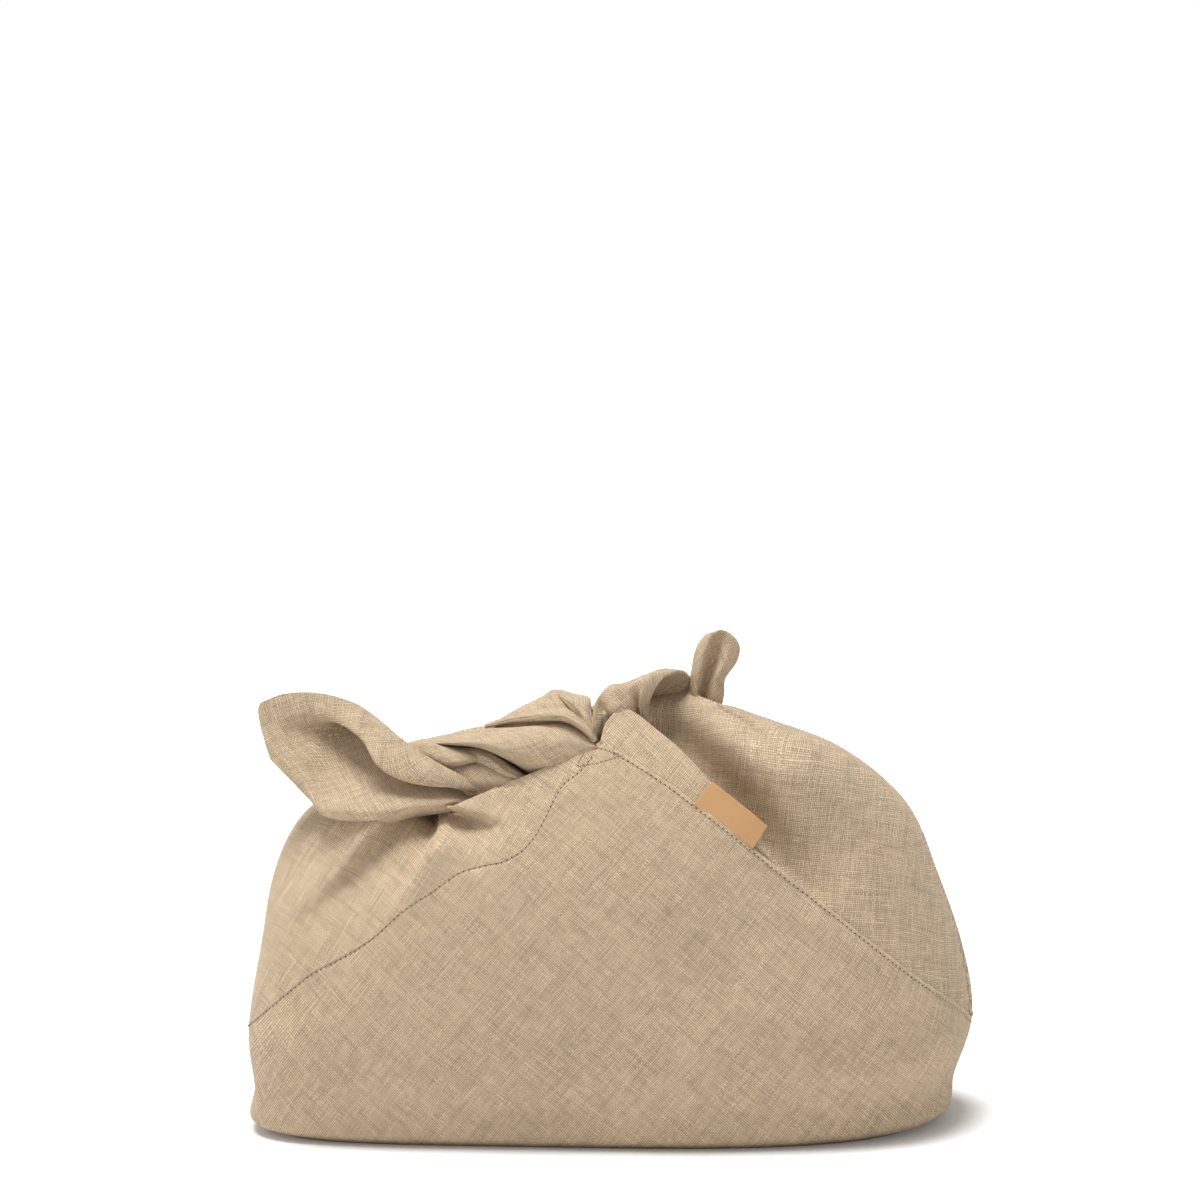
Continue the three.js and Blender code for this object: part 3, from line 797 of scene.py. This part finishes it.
def stitch_shape(name, length, radius, arch, material):
    """One stitch: a short rounded thread that dips at both ends."""
    rings, sides = 7, 6
    points, faces = [], []
    for i in range(rings):
        t = i / (rings - 1)
        wide = radius * max(0.35, math.sin(math.pi * (0.08 + 0.84 * t)) ** 0.5)
        for k in range(sides):
            turn = 2 * math.pi * k / sides
            rise = wide * math.sin(turn) + arch * math.sin(math.pi * t)
            points.append(((t - 0.5) * length, wide * math.cos(turn), rise))
    for i in range(rings - 1):
        for k in range(sides):
            n = (k + 1) % sides
            faces.append((i * sides + k, (i + 1) * sides + k, (i + 1) * sides + n, i * sides + n))
    faces += [tuple(range(sides)), tuple((rings - 1) * sides + k for k in reversed(range(sides)))]
    return make_object(name, np.array(points) / MM, faces, material)


# Top and bottom of a needle hole's plug, which carries the hole's painted shade, above the seam line, in metres.
HOLE_HEIGHTS = (0.00028, -0.0003)


def hole_shape(name, length, width, material):
    """Needle hole: a small plug set into the cloth, dark with painted shade for the pit."""
    sides = 10
    turns = [2 * math.pi * k / sides for k in range(sides)]
    points = [(length / 2 * math.cos(turn), width / 2 * math.sin(turn), height)
              for turn in turns for height in HOLE_HEIGHTS]
    walls = [(2 * k, 2 * k + 1, (2 * k + 3) % (2 * sides), (2 * k + 2) % (2 * sides)) for k in range(sides)]
    caps = [tuple(range(0, 2 * sides, 2)), tuple(range(2 * sides - 1, 0, -2))]
    return make_object(name, np.array(points) / MM, walls + caps, material)


def stitch_tree(stitch, hole, thread, dark):
    """Node tree that lays stitches and needle holes along a chain of edges."""
    tree = bpy.data.node_groups.new("Stitch row", "GeometryNodeTree")
    tree.interface.new_socket("Path", in_out="INPUT", socket_type="NodeSocketGeometry")
    pitch = tree.interface.new_socket("Stitch length", in_out="INPUT", socket_type="NodeSocketFloat")
    tree.interface.new_socket("Stitches", in_out="OUTPUT", socket_type="NodeSocketGeometry")
    root = Field(tree)
    source, join = root.node("NodeGroupInput"), root.node("GeometryNodeJoinGeometry")
    length = root.out(source, "Stitch length")
    curve = root.out(root.node("GeometryNodeMeshToCurve", None, Mesh=root.out(source, "Path")))
    up = root.node("GeometryNodeInputNamedAttribute", {"data_type": "FLOAT_VECTOR"}, Name="cloth_up")
    turn = root.node("FunctionNodeAxesToRotation", {"primary_axis": "X", "secondary_axis": "Z"},
                     Primary_Axis=root.out(root.node("GeometryNodeInputTangent")), Secondary_Axis=root.out(up))
    for shape, material, shift in ((stitch, thread, 0.5), (hole, dark, 0.0)):
        trim = root.node("GeometryNodeTrimCurve", {"mode": "LENGTH"}, Curve=curve, i4=length * shift, i5=10.0)
        spots = root.node("GeometryNodeResampleCurve", {"mode": "LENGTH"}, Curve=root.out(trim), Length=length)
        item = root.node("GeometryNodeObjectInfo", None, Object=shape)
        placed = root.node("GeometryNodeInstanceOnPoints", None, Points=root.out(spots),
                           Instance=root.out(item, "Geometry"), Rotation=root.out(turn))
        real = root.node("GeometryNodeRealizeInstances", None, Geometry=root.out(placed))
        painted = root.node("GeometryNodeSetMaterial", None, Geometry=root.out(real), Material=material)
        tree.links.new(painted.outputs[0], join.inputs[0])
    root.node("NodeGroupOutput", None, Stitches=root.out(join))
    return tree, pitch.identifier


def stitch_row(name, points, normals, tree, pitch_socket, pitch):
    """Stitches along points in millimetres as one plain mesh."""
    mesh = bpy.data.meshes.new(name + "_path")
    mesh.from_pydata((np.asarray(points) * MM).tolist(), [(i, i + 1) for i in range(len(points) - 1)], [])
    up = mesh.attributes.new("cloth_up", "FLOAT_VECTOR", "POINT")
    up.data.foreach_set("vector", np.asarray(normals, np.float32).ravel())
    path = bpy.data.objects.new(name + "_path", mesh)
    bpy.context.scene.collection.objects.link(path)
    rows = path.modifiers.new("Stitch row", "NODES")
    rows.node_group = tree
    rows[pitch_socket] = pitch
    bpy.context.view_layer.update()
    evaluated = path.evaluated_get(bpy.context.evaluated_depsgraph_get())
    result = bpy.data.meshes.new_from_object(evaluated)
    result.name = name
    bpy.data.objects.remove(path)
    obj = bpy.data.objects.new(name, result)
    bpy.context.scene.collection.objects.link(obj)
    return obj


def seam_path(start, end, below, above, count=200):
    """Points and normals below the centre square's edge and above its cloth, between two angles in degrees."""
    angle = np.radians(np.linspace(start, end, count))
    level = seam_level(angle)
    level = level - below * levels_per_mm(angle, level)
    normal = surface_normal(skin, angle, level)
    return skin(angle, level) + normal * above, normal


class BagSizes(bpy.types.PropertyGroup):
    """Sizes of the cloth and the sewing."""

    cloth: bpy.props.FloatProperty(
        name="Cloth", description="Thickness of the linen", default=0.0011, unit="LENGTH")
    ear_cloth: bpy.props.FloatProperty(
        name="Ear cloth", description="Thickness of an ear's doubled cloth", default=0.0018, unit="LENGTH")
    weave: bpy.props.FloatProperty(
        name="Weave", description="Width of one thread", default=0.00095, unit="LENGTH")
    stitch: bpy.props.FloatProperty(
        name="Stitch", description="Length of one stitch", default=0.00286, unit="LENGTH")
    seam_inset: bpy.props.FloatProperty(
        name="Seam inset", description="Topstitching from the edge", default=0.0032, unit="LENGTH")
    label_length: bpy.props.FloatProperty(
        name="Label length", description="Label along the seam", default=0.0379, unit="LENGTH")
    label_height: bpy.props.FloatProperty(
        name="Label height", description="Label out of the seam", default=0.0145, unit="LENGTH")


class BagColours(bpy.types.PropertyGroup):
    """Colours of the materials, linear."""

    linen: bpy.props.FloatVectorProperty(
        name="Linen", description="Natural linen", size=4, subtype="COLOR", default=linear(186, 165, 138))
    lining: bpy.props.FloatVectorProperty(
        name="Lining", description="Linen inside", size=4, subtype="COLOR", default=linear(186, 163, 134))
    thread: bpy.props.FloatVectorProperty(
        name="Thread", description="Sewing thread", size=4, subtype="COLOR", default=linear(200, 180, 150))
    hole: bpy.props.FloatVectorProperty(
        name="Needle hole", description="Shade in a needle hole", size=4, subtype="COLOR",
        default=linear(78, 59, 41))
    label: bpy.props.FloatVectorProperty(
        name="Label", description="Tan paper", size=4, subtype="COLOR", default=linear(195, 150, 102))


def sizes():
    return bpy.context.scene.bread_bag_sizes


def colours():
    return bpy.context.scene.bread_bag_colours


def finish(name):
    """A material of the bag, made once."""
    found = bpy.data.materials.get(name)
    if found:
        return found
    tone = colours()
    if name == "linen_cloth":
        return linen(name, list(tone.linen), sizes().weave)
    if name == "lining_cloth":
        return linen(name, list(tone.lining), sizes().weave)
    if name == "label_kraft":
        return kraft_paper(name, list(tone.label))
    return thread_material(name, list(tone.hole if name == "needle_hole" else tone.thread))


def settle(obj, slot, body, *nodes):
    """Puts a finished piece on its body in place of its solids."""
    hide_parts(*nodes)
    if body:
        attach(obj, body)
    return obj


class BAG_OT_squares(bpy.types.Operator):
    """Builds the centre square and the two side squares"""

    bl_idname = "bread_bag.squares"
    bl_label = "Squares"

    def execute(self, context):
        cloth, material = sizes().cloth, finish("linen_cloth")
        centre = thicken(centre_square("centre_panel_cloth", 0, 420, 100, material), cloth)
        settle(centre, "linen", "bag", "centre_panel")
        left = thicken(side_square("left_panel_cloth", 90, LEFT_TURN, 0, 300, 100, material), cloth)
        settle(left, "linen", "bag", "left_panel")
        right = thicken(side_square("right_panel_cloth", -90, RIGHT_TURN, 0, 300, 100, material), cloth)
        settle(right, "linen", "bag", "right_panel")
        points = strip_points(120, 30)
        uv = turned(pressed(points, "strip", 1), FLATTENED["strip"][1])
        strip = thicken(grid_object("right_panel_fold", points, uv, material), cloth)
        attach(strip, "bag")
        return {"FINISHED"}


# Linings: thickness as a share of the cloth's, and depth under the squares in millimetres.
LINING_SHARE, CENTRE_INSET, SIDE_INSET = 0.7, 5.2, 7.0


class BAG_OT_linings(bpy.types.Operator):
    """Builds the linings of the three squares"""

    bl_idname = "bread_bag.linings"
    bl_label = "Linings"

    def execute(self, context):
        cloth, material = sizes().cloth * LINING_SHARE, finish("lining_cloth")
        centre = thicken(centre_square("centre_lining_cloth", CENTRE_INSET, 160, 45, material), cloth)
        settle(centre, "lining_linen", "bag", "centre_lining")
        for name, start, turn in (("left", 90, LEFT_TURN), ("right", -90, RIGHT_TURN)):
            sheet = side_square(f"{name}_lining_cloth", start, turn, SIDE_INSET, 110, 36, material)
            obj = thicken(sheet, cloth)
            settle(obj, "lining_linen", "bag", f"{name}_lining")
        return {"FINISHED"}


class BAG_OT_knot(bpy.types.Operator):
    """Builds the gathered ties of the knot"""

    bl_idname = "bread_bag.knot"
    bl_label = "Knot"

    def execute(self, context):
        for node, rolls in ROLLS.items():
            obj = knot_roll(f"{node}_cloth", rolls, finish("linen_cloth"))
            settle(obj, "linen", "bag", node)
        points, uv = roll_points(WRAP, 64, 72)
        points = dented(pleats(points, 0.4, 6, 3.0), WRAP_DENTS)
        points, uv = points.transpose(1, 0, 2), uv.transpose(1, 0, 2)
        wrap = grid_object("right_tie_cloth", points, uv, finish("linen_cloth"), wrapped=True)
        thicken(wrap, sizes().ear_cloth, 1.0)
        settle(wrap, "linen", "bag", "right_tie")
        return {"FINISHED"}


class BAG_OT_ears(bpy.types.Operator):
    """Builds the two ears of the knot"""

    bl_idname = "bread_bag.ears"
    bl_label = "Ears"

    def execute(self, context):
        thick = sizes().ear_cloth
        left = thicken(cloth_net("left_ear_cloth", LEFT_EAR, 110, 80, finish("linen_cloth")), thick)
        settle(left, "linen", None, "left_ear")
        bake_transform(left)
        right = thicken(cloth_net("right_ear_cloth", RIGHT_EAR, 60, 48, finish("linen_cloth")), thick)
        settle(right, "linen", None, "right_ear")
        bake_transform(right)
        return {"FINISHED"}


# Stitches: length as a share of the pitch, then in metres the thread's radius and arch and the hole's length and
# width.
STITCHES = {
    "top": (0.7, 0.0002, 0.00012, 0.00105, 0.0005),
    "run": (0.5, 0.00012, 0, 0.00074, 0.00064),
    "tack": (0.6, 0.0002, 0.0001, 0.0005, 0.0004),
}
# Corners of a bar tack in millimetres, across and up from the point; the point's level; degrees round the bag in a
# millimetre across; and the tack's pitch as a share of the rows' pitch.
TACK_CORNERS = [(-5, -2), (9, -8), (-2, -11.5), (-9, -12.5), (-5, -2)]
POINT_LEVEL, DEGREES_PER_MM, TACK_SHARE = 7 / 9, 0.55, 0.8
# Height of the stitches above the cloth, in millimetres.
ROW_RISE, TACK_RISE = 0.1, 0.15


class BAG_OT_sewing(bpy.types.Operator):
    """Lays the rows of stitches"""

    bl_idname = "bread_bag.sewing"
    bl_label = "Sewing"

    def execute(self, context):
        pitch = sizes().stitch
        # Needle holes are plugs coloured in painted shade, standing for the shade inside each hole.
        thread, dark = finish("sewing_thread"), finish("needle_hole")
        trees, shapes = {}, []
        for kind, (share, radius, arch, length, width) in STITCHES.items():
            stitch = stitch_shape(f"{kind}_stitch", pitch * share, radius, arch, thread)
            hole = hole_shape(f"{kind}_hole", length, width, dark)
            trees[kind] = stitch_tree(stitch, hole, thread, dark)
            shapes += [stitch, hole]
        inset = sizes().seam_inset / MM
        rows = {
            "front_seam_thread": (273, 359, inset, "top"),
            "back_seam_thread": (93, 179, inset, "top"),
            "front_run_thread": (268, 181, 0, "run"),
            "back_run_thread": (88, 1, 0, "run"),
        }
        for node, (start, end, below, kind) in rows.items():
            points, normals = seam_path(start, end, below, ROW_RISE)
            obj = stitch_row(f"{node}_stitches", points, normals, *trees[kind], pitch)
            settle(obj, "thread", "bag", node)
        for side, degrees in (("front", 270), ("back", 90)):
            corners = np.array(TACK_CORNERS, float)
            path = np.concatenate([np.linspace(a, b, 12, endpoint=False) for a, b in zip(corners, corners[1:])])
            angle = np.radians(degrees + path[:, 0] * DEGREES_PER_MM)
            level = POINT_LEVEL + path[:, 1] * levels_per_mm(angle, np.full(angle.shape, POINT_LEVEL))
            normal = surface_normal(skin, angle, level)
            points = skin(angle, level) + normal * TACK_RISE
            obj = stitch_row(f"{side}_tack_stitches", points, normal, *trees["tack"], pitch * TACK_SHARE)
            settle(obj, "thread", "bag", f"{side}_tack")
        for shape in shapes:
            bpy.data.objects.remove(shape)
        return {"FINISHED"}


# Label: narrowing towards its free edge and towards one end, and its lean away from the cloth.
LABEL_TAPER, LABEL_SLANT, LABEL_LEAN = 0.053, 0.055, 0.16
# In metres: its shift along the seam, its tuck into the seam, the dip of one end, its thickness and its worn edge.
LABEL_SHIFT, LABEL_TUCK, LABEL_DIP, LABEL_THICK, LABEL_WEAR = 0.0017, 0.0005, 0.0015, 0.0006, 0.0002


class BAG_OT_label(bpy.types.Operator):
    """Builds the bare paper label in the front seam"""

    bl_idname = "bread_bag.label"
    bl_label = "Label"

    def execute(self, context):
        node = frame["nodes"]["label"]
        corners = np.array([v.co for v in node.data.vertices])
        joint = next(j for j in frame["joints"] if j["name"] == "label_lift")
        along = np.array(joint["axis"]) / np.linalg.norm(joint["axis"])
        middle = corners.mean(axis=0)
        hinge = np.array(joint["pos_m"])
        away = unit((middle - hinge) - along * ((middle - hinge) @ along))
        out = unit(np.cross(along, away))
        length, height = sizes().label_length, sizes().label_height
        across, up = np.linspace(-1, 1, 33)[:, None], np.linspace(0, 1, 19)[None]
        u = across * length / 2 * (1 - LABEL_TAPER * up) - LABEL_SHIFT
        v = up * height * (1 - LABEL_SLANT * across) - LABEL_TUCK
        curl = LABEL_LEAN * v - LABEL_TUCK - LABEL_DIP * smooth(u, 0.004, 0.018)
        points = (hinge + along * u[..., None] + away * v[..., None] + out * curl[..., None]) / MM
        uv = np.stack(np.broadcast_arrays(u, v), -1)
        label = thicken(grid_object("label_paper_tag", points, uv, finish("label_kraft")), LABEL_THICK, 0.0)
        bevel = label.modifiers.new("Worn edge", "BEVEL")
        bevel.width, bevel.segments, bevel.limit_method = LABEL_WEAR, 2, "ANGLE"
        settle(label, "label_paper", "label", "label")
        return {"FINISHED"}


# Lights as strength, spread in degrees and direction; light from all round and the camera's brighter background;
# half the width of the floor in millimetres; the camera's place and direction in metres, and its lens.
LIGHTS = {"key": (3.3, 30, (0.14, 0.02, -1.0)), "fill": (0.45, 50, (0.9, 0.3, -0.4))}
AMBIENT, BACKGROUND_GAIN = 0.37, 0.63
FLOOR_REACH = 12000
CAMERA_PLACE, CAMERA_AIM, CAMERA_LENS = (0.1516, -2.1676, 0.4542), (-0.0721, 0.9938, -0.0841), 124.53


class BAG_OT_stage(bpy.types.Operator):
    """Sets the floor, the light and the camera"""

    bl_idname = "bread_bag.stage"
    bl_label = "Stage"

    def execute(self, context):
        scene = context.scene
        scene.view_settings.view_transform = "Standard"
        corners = [(x * FLOOR_REACH, y * FLOOR_REACH, 0) for x, y in ((-1, -1), (1, -1), (1, 1), (-1, 1))]
        floor = make_object("floor", corners, [(0, 1, 2, 3)], floor_material("pale_floor"))
        world = bpy.data.worlds.new("Studio")
        world.use_nodes = True
        tree = world.node_tree
        back = tree.nodes["Background"]
        seen = shows_background(Field(tree))
        tree.links.new((seen * BACKGROUND_GAIN + AMBIENT).socket, back.inputs["Strength"])
        back.inputs["Color"].default_value = (1, 1, 1, 1)
        scene.world = world
        for name, (strength, spread, aim) in LIGHTS.items():
            sun = bpy.data.lights.new(name, "SUN")
            sun.energy, sun.angle = strength, math.radians(spread)
            lamp = bpy.data.objects.new(name, sun)
            lamp.rotation_euler = Vector(aim).to_track_quat("-Z", "Y").to_euler()
            scene.collection.objects.link(lamp)
        camera = bpy.data.cameras.new("camera")
        camera.sensor_width, camera.lens = 36, CAMERA_LENS
        viewer = bpy.data.objects.new("camera", camera)
        viewer.location = CAMERA_PLACE
        viewer.rotation_euler = Vector(CAMERA_AIM).to_track_quat("-Z", "Y").to_euler()
        scene.collection.objects.link(viewer)
        scene.camera = viewer
        return {"FINISHED"}


class BAG_PT_sidebar(bpy.types.Panel):
    """Lists the steps of the bag"""

    bl_label = "Linen Bread Bag"
    bl_idname = "BAG_PT_sidebar"
    bl_space_type = "VIEW_3D"
    bl_region_type = "UI"
    bl_category = "Bread Bag"

    def draw(self, context):
        for step in STEPS:
            self.layout.operator(step.bl_idname)
        for group in (sizes(), colours()):
            for key in group.bl_rna.properties.keys():
                if key not in ("rna_type", "name"):
                    self.layout.prop(group, key)


STEPS = (BAG_OT_squares, BAG_OT_linings, BAG_OT_knot, BAG_OT_ears, BAG_OT_sewing, BAG_OT_label, BAG_OT_stage)
CLASSES = (BagSizes, BagColours, *STEPS, BAG_PT_sidebar)


def register():
    for item in CLASSES:
        bpy.utils.register_class(item)
    bpy.types.Scene.bread_bag_sizes = bpy.props.PointerProperty(type=BagSizes)
    bpy.types.Scene.bread_bag_colours = bpy.props.PointerProperty(type=BagColours)


def unregister():
    del bpy.types.Scene.bread_bag_sizes, bpy.types.Scene.bread_bag_colours
    for item in reversed(CLASSES):
        bpy.utils.unregister_class(item)


def main():
    register()
    for step in STEPS:
        group, name = step.bl_idname.split(".")
        getattr(getattr(bpy.ops, group), name)()


if __name__ == "__main__":
    main()
